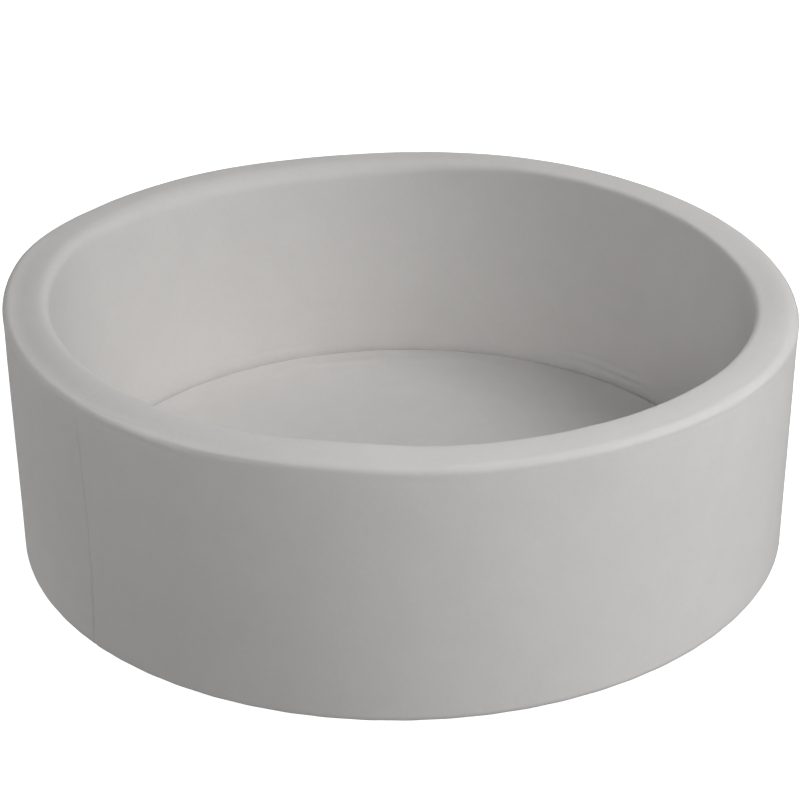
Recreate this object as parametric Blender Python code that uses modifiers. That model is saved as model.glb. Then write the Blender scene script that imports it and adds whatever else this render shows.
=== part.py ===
"""Round foam ball pit.

A soft ring of curved foam strips stands in a sleeve of stretch cloth, which is sewn to a
base panel under it. A zip along the back of the sleeve lets the strips out, and a padded
floor lies loose inside the ring. +Z is up, and the origin is the centre of the base, on
the floor. Azimuths are turned from +X towards +Y, and -Y is the front.
"""

import math

import bmesh
import bpy

# Driving sizes of the ring, in metres
OUTER_DIAMETER = 0.900
WALL_HEIGHT = 0.300
WALL_THICKNESS = 0.050
RIM_OUTER_ROUNDING = 0.0135
RIM_INNER_ROUNDING = 0.0090
FOOT_ROUNDING = 0.0080

# Cloths, and the gap that parts lying on each other keep
COVER_CLOTH = 0.0012
BASE_CLOTH = 0.0015
SEAT_GAP = 0.0003

# The upright seam of the sleeve, and its edges turned in behind it
SEAM_AZIMUTH = math.radians(222)
SEAM_SLIT = 0.0004
SEAM_ALLOWANCE_WIDTH = 0.010

# Foam strips of the wall, butted end to end
STRIP_COUNT = 4
STRIP_END_GAP = 0.0006

# Floor pad
PAD_EDGE_THICKNESS = 0.0255
PAD_CROWN = 0.0030
PAD_TOP_ROUNDING = 0.0060
PAD_FOOT_ROUNDING = 0.0040
PAD_SIDE_DRAW = 0.0008
PAD_CLEARANCE = 0.0005
PAD_SKIRT = 0.0040

# Zip along the back of the sleeve
ZIP_HEIGHT = 0.022
ZIP_START_AZIMUTH = math.radians(14)
ZIP_END_AZIMUTH = math.radians(166)
ZIP_SLOT = 0.010
ZIP_HEM_WIDTH = 0.007
ZIP_END_MARGIN = 0.004
TAPE_WIDTH = 0.0100
TAPE_THICKNESS = 0.0006
TAPE_PARTING = 0.0024
TAPE_END = 0.009
ROW_WIDTH = 0.00245
ROW_THICKNESS = 0.0020
ROW_PARTING = 0.0003
RUNNING_GAP = 0.00025

# Zip stops
STOP_LENGTH = 0.0025
STOP_BEVEL = 0.0003

# Zip slider, which runs along the zip round the axis of the pit
SLIDER_LENGTH = 0.0100
SLIDER_PLATE = 0.0009
SLIDER_BACK_PLATE = 0.0008
SLIDER_FLANGE = 0.0008
SLIDER_NOSE_FLARE = 0.0005
SLIDER_BEVEL = 0.00025
POST_WIDTH = 0.0018
POST_LENGTH = 0.0028
POST_FROM_NOSE = 0.0006
BRIDGE_WIDTH = 0.0018
BRIDGE_THICKNESS = 0.0008
BRIDGE_HALF_LENGTH = 0.0030

# Pull tab, which turns on its bar under the slider's bridge
PULL_LENGTH = 0.022
PULL_WIDTH = 0.0060
PULL_TIP_WIDTH = 0.0080
PULL_THICKNESS = 0.0012
PULL_WINDOW_LENGTH = 0.0036
PULL_WINDOW_WIDTH = 0.0030
PULL_BEVEL = 0.0003

# How finely the round forms are cut
TURN_STEPS = 80
PAD_STEPS = 64
ZIP_STEPS = 76
SEAM_STEPS = 2
RIM_SEGMENTS = 3
FOOT_SEGMENTS = 2
CROWN_SEGMENTS = 3
# How far a cutter runs past what it cuts
OVERRUN = 0.006
# Points nearer than this are one point
MERGE = 0.00001

# Sizes that follow from the ones above
OUTER_RADIUS = OUTER_DIAMETER / 2
INNER_RADIUS = OUTER_RADIUS - WALL_THICKNESS


def chord_sag(radius, steps=TURN_STEPS):
    """How far the middle of a flat side lies inside a circle cut into that many sides."""
    return radius * (1 - math.cos(math.pi / steps))


# Room between the sleeve and what lies in it, wherever the flat sides of either fall
WALL_SAG = chord_sag(OUTER_RADIUS)
SLEEVE_INSET = COVER_CLOTH + SEAT_GAP + WALL_SAG
SLEEVE_BOTTOM = SEAT_GAP
INSIDE_BOTTOM = BASE_CLOTH + SEAT_GAP
BASE_RADIUS = OUTER_RADIUS - FOOT_ROUNDING - SEAT_GAP
SEAM_ANGLE = SEAM_SLIT / OUTER_RADIUS

PAD_RADIUS = INNER_RADIUS - chord_sag(INNER_RADIUS) - PAD_CLEARANCE
PAD_BOTTOM = INSIDE_BOTTOM
PAD_EDGE_TOP = PAD_BOTTOM + PAD_EDGE_THICKNESS
PAD_FOAM_INSET = COVER_CLOTH + SEAT_GAP

# The zip's layers, by radius from the pit's axis outwards
HEM_BACK = OUTER_RADIUS - 2 * COVER_CLOTH
TAPE_FACE = HEM_BACK - WALL_SAG - SEAT_GAP
TAPE_BACK = TAPE_FACE - TAPE_THICKNESS
ROW_BACK = TAPE_FACE + SEAT_GAP
ROW_FACE = ROW_BACK + ROW_THICKNESS
PLATE_BACK = ROW_FACE + RUNNING_GAP
PLATE_FACE = PLATE_BACK + SLIDER_PLATE
BACK_PLATE_FACE = TAPE_BACK - RUNNING_GAP - SEAT_GAP
BACK_PLATE_BACK = BACK_PLATE_FACE - SLIDER_BACK_PLATE
GROOVE_RADIUS = BACK_PLATE_BACK - SEAT_GAP
BAR_RADIUS = PULL_THICKNESS / 2
PULL_AXIS_RADIUS = PLATE_FACE + SEAT_GAP + BAR_RADIUS
BRIDGE_BACK = PULL_AXIS_RADIUS + BAR_RADIUS + SEAT_GAP

# Places along the zip, as azimuths
SLIDER_HALF = SLIDER_LENGTH / 2
STOP_REACH = SLIDER_HALF + SEAT_GAP + STOP_LENGTH
SLIDER_AZIMUTH = ZIP_END_AZIMUTH - STOP_REACH / OUTER_RADIUS
POST_BACK_Y = SLIDER_HALF - POST_FROM_NOSE - POST_LENGTH
ROW_END_AZIMUTH = SLIDER_AZIMUTH + (POST_BACK_Y - SEAT_GAP) / OUTER_RADIUS
ROW_START_AZIMUTH = ZIP_START_AZIMUTH + (STOP_LENGTH + SEAT_GAP) / OUTER_RADIUS

# Across the zip, up and down from its middle
ROW_OUTER_EDGE = ROW_PARTING / 2 + ROW_WIDTH
FLANGE_INNER = ROW_OUTER_EDGE + RUNNING_GAP
PLATE_HALF_WIDTH = FLANGE_INNER + SLIDER_FLANGE
TAPE_OUTER_EDGE = TAPE_PARTING / 2 + TAPE_WIDTH
HEM_OUTER_EDGE = ZIP_SLOT / 2 + ZIP_HEM_WIDTH
GROOVE_HALF = max(TAPE_OUTER_EDGE, HEM_OUTER_EDGE) + SEAT_GAP

# Colours as linear red, green and blue
COVER_GREY = (0.44, 0.44, 0.43)
BASE_GREY = (0.16, 0.16, 0.165)
FOAM_WHITE = (0.80, 0.78, 0.70)
TAPE_GREY = (0.40, 0.40, 0.395)
TEETH_GREY = (0.33, 0.33, 0.33)
METAL_GREY = (0.50, 0.50, 0.50)


def clear_scene():
    for thing in list(bpy.data.objects):
        bpy.data.objects.remove(thing, do_unlink=True)


def new_collection(name, parent):
    collection = bpy.data.collections.new(name)
    parent.children.link(collection)
    return collection


def finish(piece, colour, roughness, metallic=0.0):
    """Gives a piece a material of its own."""
    material = bpy.data.materials.new(piece.name)
    material.use_nodes = True
    shader = material.node_tree.nodes["Principled BSDF"]
    shader.inputs["Base Color"].default_value = (*colour, 1.0)
    shader.inputs["Roughness"].default_value = roughness
    shader.inputs["Metallic"].default_value = metallic
    material.diffuse_color = (*colour, 1.0)
    piece.data.materials.append(material)


def mesh_object(name, shape, collection):
    """Makes an object of a bmesh, with its faces turned outwards and its round sides smooth."""
    bmesh.ops.recalc_face_normals(shape, faces=shape.faces)
    mesh = bpy.data.meshes.new(name)
    shape.to_mesh(mesh)
    shape.free()
    mesh.shade_smooth()
    mesh.set_sharp_from_angle(angle=math.radians(40))
    piece = bpy.data.objects.new(name, mesh)
    collection.objects.link(piece)
    return piece


def corner(centre, radius, first, last, segments):
    """Points of a rounded corner in a profile, or its one sharp point where nothing is left of it."""
    if radius <= MERGE:
        return [centre]
    turn = (last - first) / segments
    angles = [math.radians(first + turn * i) for i in range(segments + 1)]
    return [(centre[0] + radius * math.cos(a), centre[1] + radius * math.sin(a)) for a in angles]


def turned(name, outline, collection, steps=TURN_STEPS, start=0.0, sweep=2 * math.pi):
    """Turns a closed outline of (radius, height) points round the Z axis, and closes its ends."""
    profile = bmesh.new()
    points = [profile.verts.new((radius, 0.0, height)) for radius, height in outline]
    for here, there in zip(points, points[1:] + points[:1]):
        if here.co.x > MERGE or there.co.x > MERGE:
            profile.edges.new((here, there))
    guide = mesh_object(name + "_profile", profile, collection)
    screw = guide.modifiers.new("turn", "SCREW")
    screw.angle = sweep
    screw.steps = steps
    screw.render_steps = steps
    screw.use_merge_vertices = True
    screw.merge_threshold = MERGE
    graph = bpy.context.evaluated_depsgraph_get()
    swept = bpy.data.meshes.new_from_object(guide.evaluated_get(graph))
    profile_mesh = guide.data
    bpy.data.objects.remove(guide)
    bpy.data.meshes.remove(profile_mesh)
    shape = bmesh.new()
    shape.from_mesh(swept)
    bpy.data.meshes.remove(swept)
    ends = [edge for edge in shape.edges if edge.is_boundary]
    if ends:
        bmesh.ops.holes_fill(shape, edges=ends, sides=0)
    piece = mesh_object(name, shape, collection)
    piece.rotation_euler.z = start
    return piece


def block(name, low, high, collection, bevel=0.0):
    """A box between two corners, with its edges rounded."""
    shape = bmesh.new()
    bmesh.ops.create_cube(shape, size=1.0)
    for vertex in shape.verts:
        for axis in range(3):
            middle = (low[axis] + high[axis]) / 2
            vertex.co[axis] = middle + vertex.co[axis] * (high[axis] - low[axis])
    if bevel:
        bmesh.ops.bevel(
            shape, geom=shape.edges[:], offset=bevel, segments=1, affect="EDGES", clamp_overlap=True
        )
    return mesh_object(name, shape, collection)


def boolean(piece, other, operation):
    change = piece.modifiers.new(other.name, "BOOLEAN")
    change.operation = operation
    change.solver = "EXACT"
    change.object = other


def make_cutter(piece):
    piece.hide_render = True
    piece.display_type = "WIRE"
    return piece


def applied(piece):
    """Makes a piece's modifiers part of its mesh, and drops the helpers that they used."""
    helpers = [change.object for change in piece.modifiers]
    graph = bpy.context.evaluated_depsgraph_get()
    mesh = bpy.data.meshes.new_from_object(piece.evaluated_get(graph))
    plain = piece.data
    piece.modifiers.clear()
    piece.data = mesh
    bpy.data.meshes.remove(plain)
    for helper in helpers:
        bpy.data.objects.remove(helper)
    mesh.name = piece.name
    return piece


def joined(name, pieces):
    """One solid from several that overlap."""
    first, *others = pieces
    for other in others:
        boolean(first, other, "UNION")
    applied(first)
    first.name = name
    first.data.name = name
    return first


def wall_path(inset, foot_height):
    """The sleeve's line in profile, drawn in by inset: under the foot, up, over the rim and down inside."""
    foot = (OUTER_RADIUS - FOOT_ROUNDING, SLEEVE_BOTTOM + FOOT_ROUNDING)
    outer_rim = (OUTER_RADIUS - RIM_OUTER_ROUNDING, WALL_HEIGHT - RIM_OUTER_ROUNDING)
    inner_rim = (INNER_RADIUS + RIM_INNER_ROUNDING, WALL_HEIGHT - RIM_INNER_ROUNDING)
    path = corner(foot, FOOT_ROUNDING - inset, -90, 0, FOOT_SEGMENTS)
    path += corner(outer_rim, RIM_OUTER_ROUNDING - inset, 0, 90, RIM_SEGMENTS)
    path += corner(inner_rim, RIM_INNER_ROUNDING - inset, 90, 180, RIM_SEGMENTS)
    path.append((INNER_RADIUS + inset, foot_height))
    return path


def band_outline(outer_inset, inner_inset, foot_height):
    """A strip of cloth that follows the sleeve's line, between two insets."""
    outside = wall_path(outer_inset, foot_height)
    inside = wall_path(inner_inset, foot_height)
    return outside + inside[::-1]


def make_wall_cover(parts):
    """The sleeve: outside, rim and inside in one cloth, open at its upright seam and at the zip."""
    cover = turned(
        "wall_cover",
        band_outline(0.0, COVER_CLOTH, INSIDE_BOTTOM),
        parts,
        start=SEAM_AZIMUTH + SEAM_ANGLE / 2,
        sweep=2 * math.pi - SEAM_ANGLE,
    )
    hem_reach = (ZIP_END_MARGIN + ZIP_HEM_WIDTH) / OUTER_RADIUS
    slot_reach = ZIP_END_MARGIN / OUTER_RADIUS
    zip_sweep = ZIP_END_AZIMUTH - ZIP_START_AZIMUTH
    hem = turned(
        "hem",
        ring_section(HEM_BACK, OUTER_RADIUS - COVER_CLOTH / 2, -HEM_OUTER_EDGE, HEM_OUTER_EDGE),
        parts,
        steps=ZIP_STEPS,
        start=ZIP_START_AZIMUTH - hem_reach,
        sweep=zip_sweep + 2 * hem_reach,
    )
    slot = turned(
        "slot",
        ring_section(HEM_BACK - OVERRUN, OUTER_RADIUS + OVERRUN, -ZIP_SLOT / 2, ZIP_SLOT / 2),
        parts,
        steps=ZIP_STEPS,
        start=ZIP_START_AZIMUTH - slot_reach,
        sweep=zip_sweep + 2 * slot_reach,
    )
    boolean(cover, hem, "UNION")
    boolean(cover, slot, "DIFFERENCE")
    applied(cover)
    finish(cover, COVER_GREY, 0.85)


def ring_section(inner, outer, below, above):
    """A rectangle in profile, at the height of the zip."""
    low, high = ZIP_HEIGHT + below, ZIP_HEIGHT + above
    return [(outer, high), (outer, low), (inner, low), (inner, high)]


def make_seam_allowance(parts):
    """The two edges of the sleeve's cloth, turned in and lying flat behind the seam."""
    first = COVER_CLOTH + SEAT_GAP + WALL_SAG
    allowance = turned(
        "seam_allowance",
        band_outline(first, first + 2 * COVER_CLOTH, INSIDE_BOTTOM + SEAT_GAP),
        parts,
        steps=SEAM_STEPS,
        start=SEAM_AZIMUTH,
        sweep=SEAM_ALLOWANCE_WIDTH / OUTER_RADIUS,
    )
    finish(allowance, COVER_GREY, 0.9)


def strip_outline(grooved):
    """A foam strip's section, with the groove that the zip presses into the two at the back."""
    path = wall_path(SLEEVE_INSET, INSIDE_BOTTOM)
    foot, rest = path[: FOOT_SEGMENTS + 1], path[FOOT_SEGMENTS + 1 :]
    foot = [(radius, max(height, INSIDE_BOTTOM)) for radius, height in foot]
    groove = []
    if grooved:
        low, high = ZIP_HEIGHT - GROOVE_HALF, ZIP_HEIGHT + GROOVE_HALF
        face = OUTER_RADIUS - SLEEVE_INSET
        groove = [(face, low), (GROOVE_RADIUS, low), (GROOVE_RADIUS, high), (face, high)]
    return foot + groove + rest


def make_foam_strips(parts, cutters):
    """The wall's foam: equal curved strips, the seam in the middle of the first one."""
    pitch = 2 * math.pi / STRIP_COUNT
    gap = STRIP_END_GAP / INNER_RADIUS
    for index in range(STRIP_COUNT):
        first = SEAM_AZIMUTH + (index - 0.5) * pitch
        middle = first + pitch / 2
        strip = turned(
            f"wall_foam_{index + 1}",
            strip_outline(behind(first, middle, first + pitch)),
            parts,
            steps=max(1, round(TURN_STEPS / STRIP_COUNT)),
            start=first + gap / 2,
            sweep=pitch - gap,
        )
        if index == 0:
            boolean(strip, seam_cutter(cutters), "DIFFERENCE")
        finish(strip, FOAM_WHITE, 0.95)


def behind(*azimuths):
    """Whether any of a strip's azimuths lies along the zip."""
    reach = (ZIP_END_MARGIN + ZIP_HEM_WIDTH + TAPE_END) / OUTER_RADIUS
    low, high = ZIP_START_AZIMUTH - reach, ZIP_END_AZIMUTH + reach
    return any(low < azimuth % (2 * math.pi) < high for azimuth in azimuths)


def seam_cutter(cutters):
    """The shallow recess that the turned-in edges press into the foam."""
    depth = SLEEVE_INSET + 2 * COVER_CLOTH + SEAT_GAP
    side = 2 * SEAT_GAP / OUTER_RADIUS
    return make_cutter(
        turned(
            "seam_recess",
            band_outline(0.0, depth, SLEEVE_BOTTOM - OVERRUN),
            cutters,
            steps=SEAM_STEPS,
            start=SEAM_AZIMUTH - side,
            sweep=SEAM_ALLOWANCE_WIDTH / OUTER_RADIUS + 2 * side,
        )
    )


def make_base_panel(parts):
    """The flat cloth disc under the pit, which the sleeve is sewn to."""
    outline = [(0.0, BASE_CLOTH), (BASE_RADIUS, BASE_CLOTH), (BASE_RADIUS, 0.0), (0.0, 0.0)]
    panel = turned("base_panel", outline, parts, start=SEAM_AZIMUTH)
    finish(panel, BASE_GREY, 0.8)


def pad_crown(inset, reach):
    """The pad's domed top from its middle out to reach, drawn in by inset."""
    points = []
    for index in range(CROWN_SEGMENTS + 1):
        share = index / CROWN_SEGMENTS
        rise = PAD_CROWN * (1 - share**2)
        points.append((reach * share, PAD_EDGE_TOP + rise - inset))
    return points


def pad_top_path(inset, skirt_height):
    centre = (PAD_RADIUS - PAD_TOP_ROUNDING, PAD_EDGE_TOP - PAD_TOP_ROUNDING)
    path = pad_crown(inset, centre[0])[:-1]
    path += corner(centre, PAD_TOP_ROUNDING - inset, 90, 0, RIM_SEGMENTS)
    path.append((PAD_RADIUS - inset, skirt_height))
    return path


def pad_foot_path(inset, skirt_height):
    centre = (PAD_RADIUS - PAD_FOOT_ROUNDING, PAD_BOTTOM + PAD_FOOT_ROUNDING)
    path = [(0.0, PAD_BOTTOM + inset)]
    path += corner(centre, PAD_FOOT_ROUNDING - inset, -90, 0, FOOT_SEGMENTS)
    path.append((PAD_RADIUS - inset, skirt_height))
    return path


def make_floor_pad(parts):
    """The loose padded floor: foam in a cover of a domed top, a side band and an underside."""
    top_seam = PAD_EDGE_TOP - PAD_TOP_ROUNDING - PAD_SKIRT
    foot_seam = PAD_BOTTOM + PAD_FOOT_ROUNDING + SEAT_GAP
    top = turned(
        "pad_top_panel",
        pad_top_path(0.0, top_seam) + pad_top_path(COVER_CLOTH, top_seam)[::-1],
        parts,
        steps=PAD_STEPS,
        start=SEAM_AZIMUTH,
    )
    finish(top, COVER_GREY, 0.85)
    low, high = foot_seam + SEAT_GAP, top_seam - SEAT_GAP
    waist = (low + high) / 2
    outer, drawn = PAD_RADIUS, PAD_RADIUS - PAD_SIDE_DRAW
    band = turned(
        "pad_side_band",
        [
            (outer, high),
            (drawn, waist),
            (outer, low),
            (outer - COVER_CLOTH, low),
            (drawn - COVER_CLOTH, waist),
            (outer - COVER_CLOTH, high),
        ],
        parts,
        steps=PAD_STEPS,
        start=SEAM_AZIMUTH,
    )
    finish(band, COVER_GREY, 0.85)
    underside = turned(
        "pad_underside",
        pad_foot_path(0.0, foot_seam) + pad_foot_path(COVER_CLOTH, foot_seam)[::-1],
        parts,
        steps=PAD_STEPS,
        start=SEAM_AZIMUTH,
    )
    finish(underside, BASE_GREY, 0.8)
    upper = pad_top_path(PAD_FOAM_INSET, top_seam)
    lower = pad_foot_path(PAD_FOAM_INSET, foot_seam)
    waist_point = [(PAD_RADIUS - PAD_SIDE_DRAW - PAD_FOAM_INSET, waist)]
    foam = turned(
        "pad_foam",
        upper + waist_point + lower[::-1],
        parts,
        steps=PAD_STEPS,
        start=SEAM_AZIMUTH,
    )
    finish(foam, FOAM_WHITE, 0.95)


def make_zip_strips(parts):
    """The two tapes, each sewn behind a hem of the slot, and the row of teeth on each."""
    sides = (("upper", 1), ("lower", -1))
    ends = (ZIP_HEM_WIDTH + ZIP_END_MARGIN) / OUTER_RADIUS
    for side, sign in sides:
        across = sorted((sign * TAPE_PARTING / 2, sign * TAPE_OUTER_EDGE))
        tape = turned(
            f"zip_tape_{side}",
            ring_section(TAPE_BACK, TAPE_FACE, *across),
            parts,
            steps=ZIP_STEPS,
            start=ZIP_START_AZIMUTH - ends,
            sweep=ZIP_END_AZIMUTH - ZIP_START_AZIMUTH + 2 * ends,
        )
        finish(tape, TAPE_GREY, 0.85)
        across = sorted((sign * ROW_PARTING / 2, sign * ROW_OUTER_EDGE))
        row = turned(
            f"zip_teeth_{side}",
            ring_section(ROW_BACK, ROW_FACE, *across),
            parts,
            steps=ZIP_STEPS,
            start=ROW_START_AZIMUTH,
            sweep=ROW_END_AZIMUTH - ROW_START_AZIMUTH,
        )
        finish(row, TEETH_GREY, 0.45)


def on_zip(piece, azimuth):
    """Sets a piece drawn along +X at the height of the zip's middle and turns it to its azimuth."""
    piece.location.z = ZIP_HEIGHT
    piece.rotation_euler.z = azimuth


def make_zip_stops(parts):
    """One stop across both rows where the zip starts, and one on each tape where it ends."""
    half = STOP_LENGTH / 2
    bottom = block(
        "zip_bottom_stop",
        (ROW_BACK, -half, -ROW_OUTER_EDGE),
        (ROW_FACE, half, ROW_OUTER_EDGE),
        parts,
        STOP_BEVEL,
    )
    on_zip(bottom, ZIP_START_AZIMUTH + half / OUTER_RADIUS)
    finish(bottom, METAL_GREY, 0.35, 1.0)
    for side, sign in (("upper", 1), ("lower", -1)):
        low, high = sorted((sign * TAPE_PARTING / 2, sign * ROW_OUTER_EDGE))
        stop = block(
            f"zip_top_stop_{side}", (ROW_BACK, -half, low), (ROW_FACE, half, high), parts, STOP_BEVEL
        )
        on_zip(stop, ZIP_END_AZIMUTH - half / OUTER_RADIUS)
        finish(stop, METAL_GREY, 0.35, 1.0)


def plate(name, back, face, collection):
    """A slider plate, wider at its nose than at its tail."""
    piece = block(
        name,
        (back, -SLIDER_HALF, -PLATE_HALF_WIDTH),
        (face, SLIDER_HALF, PLATE_HALF_WIDTH),
        collection,
    )
    for vertex in piece.data.vertices:
        if vertex.co.y > 0:
            vertex.co.z += math.copysign(SLIDER_NOSE_FLARE, vertex.co.z)
    shape = bmesh.new()
    shape.from_mesh(piece.data)
    bmesh.ops.bevel(
        shape, geom=shape.edges[:], offset=SLIDER_BEVEL, segments=1, affect="EDGES", clamp_overlap=True
    )
    shape.to_mesh(piece.data)
    shape.free()
    return piece


def make_slider(parts):
    """The slider: two plates round the teeth, joined by the post at its nose, with a bridge on top."""
    pieces = [plate("face_plate", PLATE_BACK, PLATE_FACE, parts)]
    pieces.append(
        block(
            "post",
            (BACK_PLATE_BACK + SLIDER_BEVEL, POST_BACK_Y, -POST_WIDTH / 2),
            (PLATE_FACE - SLIDER_BEVEL, POST_BACK_Y + POST_LENGTH, POST_WIDTH / 2),
            parts,
        )
    )
    pieces.append(plate("back_plate", BACK_PLATE_BACK, BACK_PLATE_FACE, parts))
    flange_tail, flange_nose = -SLIDER_HALF + SLIDER_BEVEL, POST_BACK_Y
    for sign in (1, -1):
        low, high = sorted((sign * FLANGE_INNER, sign * (PLATE_HALF_WIDTH - SLIDER_BEVEL / 2)))
        pieces.append(
            block(
                "flange",
                (ROW_BACK, flange_tail, low),
                (PLATE_FACE - SLIDER_BEVEL, flange_nose, high),
                parts,
            )
        )
    leg_inner = BRIDGE_HALF_LENGTH - BRIDGE_THICKNESS
    half = BRIDGE_WIDTH / 2
    top = BRIDGE_BACK + BRIDGE_THICKNESS
    for low, high in ((-BRIDGE_HALF_LENGTH, -leg_inner), (leg_inner, BRIDGE_HALF_LENGTH)):
        leg_low = (PLATE_FACE - SLIDER_BEVEL, low, -half)
        leg_high = (top - SLIDER_BEVEL, high, half)
        pieces.append(block("bridge_leg", leg_low, leg_high, parts))
    pieces.append(
        block(
            "bridge_top",
            (BRIDGE_BACK, -BRIDGE_HALF_LENGTH - SLIDER_BEVEL / 2, -half - SLIDER_BEVEL / 2),
            (top, BRIDGE_HALF_LENGTH + SLIDER_BEVEL / 2, half + SLIDER_BEVEL / 2),
            parts,
            SLIDER_BEVEL,
        )
    )
    slider = joined("zip_slider", pieces)
    on_zip(slider, SLIDER_AZIMUTH)
    finish(slider, METAL_GREY, 0.35, 1.0)
    return slider


def make_pull_tab(parts, cutters, slider):
    """The pull tab, drawn from its bar back along the closed zip, with a window for the bridge."""
    tab = block(
        "zip_pull_tab",
        (-BAR_RADIUS, -PULL_LENGTH, -PULL_WIDTH / 2),
        (BAR_RADIUS, BAR_RADIUS, PULL_WIDTH / 2),
        parts,
    )
    for vertex in tab.data.vertices:
        if vertex.co.y < 0:
            vertex.co.z = math.copysign(PULL_TIP_WIDTH / 2, vertex.co.z)
    shape = bmesh.new()
    shape.from_mesh(tab.data)
    bmesh.ops.bevel(
        shape, geom=shape.edges[:], offset=PULL_BEVEL, segments=1, affect="EDGES", clamp_overlap=True
    )
    shape.to_mesh(tab.data)
    shape.free()
    window = make_cutter(
        block(
            "pull_window",
            (-OVERRUN, -BAR_RADIUS - PULL_WINDOW_LENGTH, -PULL_WINDOW_WIDTH / 2),
            (OVERRUN, -BAR_RADIUS, PULL_WINDOW_WIDTH / 2),
            cutters,
        )
    )
    for piece in (tab, window):
        piece.parent = slider
        piece.location.x = PULL_AXIS_RADIUS
    boolean(tab, window, "DIFFERENCE")
    finish(tab, METAL_GREY, 0.35, 1.0)


def main():
    clear_scene()
    scene_root = bpy.context.scene.collection
    parts = new_collection("ball_pit", scene_root)
    cutters = new_collection("cutters", scene_root)
    make_base_panel(parts)
    make_foam_strips(parts, cutters)
    make_wall_cover(parts)
    make_seam_allowance(parts)
    make_zip_strips(parts)
    make_zip_stops(parts)
    slider = make_slider(parts)
    make_pull_tab(parts, cutters, slider)
    make_floor_pad(parts)


main()
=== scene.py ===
"""Looks of the round foam ball pit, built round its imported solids.

The sleeve, the padded floor, the base cloth, the foam and the zip are made here as soft
goods with their own cloths. +Z is up, -Y is the front, azimuths turn from +X towards +Y,
and everything is in metres.
"""

from math import atan2, copysign, cos, degrees, dist, exp, hypot, pi, radians, sin, sqrt

import bpy
import numpy as np
from mathutils import Matrix, Quaternion, Vector, noise


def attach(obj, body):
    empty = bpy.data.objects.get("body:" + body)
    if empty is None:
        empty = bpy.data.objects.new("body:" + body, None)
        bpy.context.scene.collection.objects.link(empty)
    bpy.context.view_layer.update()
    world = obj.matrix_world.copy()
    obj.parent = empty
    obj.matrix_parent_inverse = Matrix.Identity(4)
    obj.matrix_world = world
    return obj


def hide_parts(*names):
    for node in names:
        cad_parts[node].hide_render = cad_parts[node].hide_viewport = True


MM = 0.001

# The sleeve's line in profile, as the solids have it
OUTER = 0.450
INNER = 0.400
RIM = 0.300
FOOT_BOTTOM = 0.0003
INSIDE_BOTTOM = 0.0018
FOOT_ROUNDING = 0.0080
OUTER_ROUNDING = 0.0080
INNER_ROUNDING = 0.0045
CLOTH = 0.0012
SEAM_AZIMUTH = 222.0
ALLOWANCE = 0.010

# The zip, along the foot of the back
ZIP_HEIGHT = 0.022
ZIP_ENDS = (14.0, 166.0)
SLOT_HALF = 0.005
SLOT_MARGIN = 0.004
HEM_WIDTH = 0.007
HEM_MIDDLE = 0.004
HEM_FOLD = 0.00125
HEM_RING = 0.0015

# The padded floor
PAD_RADIUS = 0.3992
PAD_BOTTOM = 0.0018
PAD_EDGE_TOP = 0.0273
PAD_CROWN = 0.0030
PAD_TOP_ROUNDING = 0.0060
PAD_FOOT_ROUNDING = 0.0040
PAD_TOP_SEAM = 0.0173
PAD_FOOT_SEAM = 0.0061
SEWN_GAP = 0.0003
FILLING_GAP = 0.0004
FILLING_INSET = 0.0012
FILLING_ROUNDING = 0.0025

# The base cloth
BASE_RADIUS = 0.4417
BASE_TOP = 0.0015
BASE_UNDERSIDE = 0.0004
DOT_RADIUS = 0.0016
DOT_HEIGHT = 0.0005
DOT_PITCH = 0.0162
DOT_MARGIN = 0.012


# Making meshes
def new_piece(name, points, faces, corner_uv=None):
    """A mesh object at the origin, smooth, with a cloth UV map in metres if one is given."""
    mesh = bpy.data.meshes.new(name)
    mesh.from_pydata([tuple(p) for p in points], [], faces)
    if corner_uv is not None:
        layer = mesh.uv_layers.new(name="cloth")
        layer.data.foreach_set("uv", np.asarray(corner_uv, float).ravel())
    mesh.update()
    mesh.shade_smooth()
    piece = bpy.data.objects.new(name, mesh)
    bpy.context.scene.collection.objects.link(piece)
    return piece


def grid_faces(rows, columns, closed, skip=None):
    """Quads of a grid, first along the columns and then up the rows, with the cells they fill."""
    faces, cells = [], []
    for row in range(rows - 1):
        for column in range(columns if closed else columns - 1):
            if skip is not None and skip(row, column):
                continue
            after = (column + 1) % columns
            here, there = row * columns, (row + 1) * columns
            faces.append((here + column, here + after, there + after, there + column))
            cells.append((row, column))
    return faces, cells


def grid_uv(cells, along, up):
    """Corner UVs of a grid's quads from the distances along its columns and up its rows."""
    uv = []
    for row, column in cells:
        left, right = along[column], along[column + 1]
        low, high = up[row], up[row + 1]
        uv += [(left, low), (right, low), (right, high), (left, high)]
    return uv


def on_circle(radius, turn, height):
    return (radius * cos(turn), radius * sin(turn), height)


def bridge(faces, ring, after):
    """Quads between two rings of as many points, each a list of their numbers."""
    for k in range(len(ring)):
        j = (k + 1) % len(ring)
        faces.append((ring[k], after[k], after[j], ring[j]))


def use_only(piece):
    """Deselects everything, and makes one piece selected and active."""
    bpy.ops.object.select_all(action="DESELECT")
    piece.select_set(True)
    bpy.context.view_layer.objects.active = piece


def set_mode(mode):
    bpy.ops.object.mode_set(mode=mode)


def just_made():
    """The piece an operator just made, alone selected, with its place and size applied."""
    piece = bpy.context.object
    use_only(piece)
    bpy.ops.object.transform_apply()
    return piece


def apply_all(piece):
    use_only(piece)
    for modifier in list(piece.modifiers):
        bpy.ops.object.modifier_apply(modifier=modifier.name)


def thicken(piece, thickness):
    """Gives a sheet its thickness on its inner side, and hands it on."""
    solid = piece.modifiers.new("thickness", "SOLIDIFY")
    solid.thickness = thickness
    solid.offset = -1
    apply_all(piece)
    return piece


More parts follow.
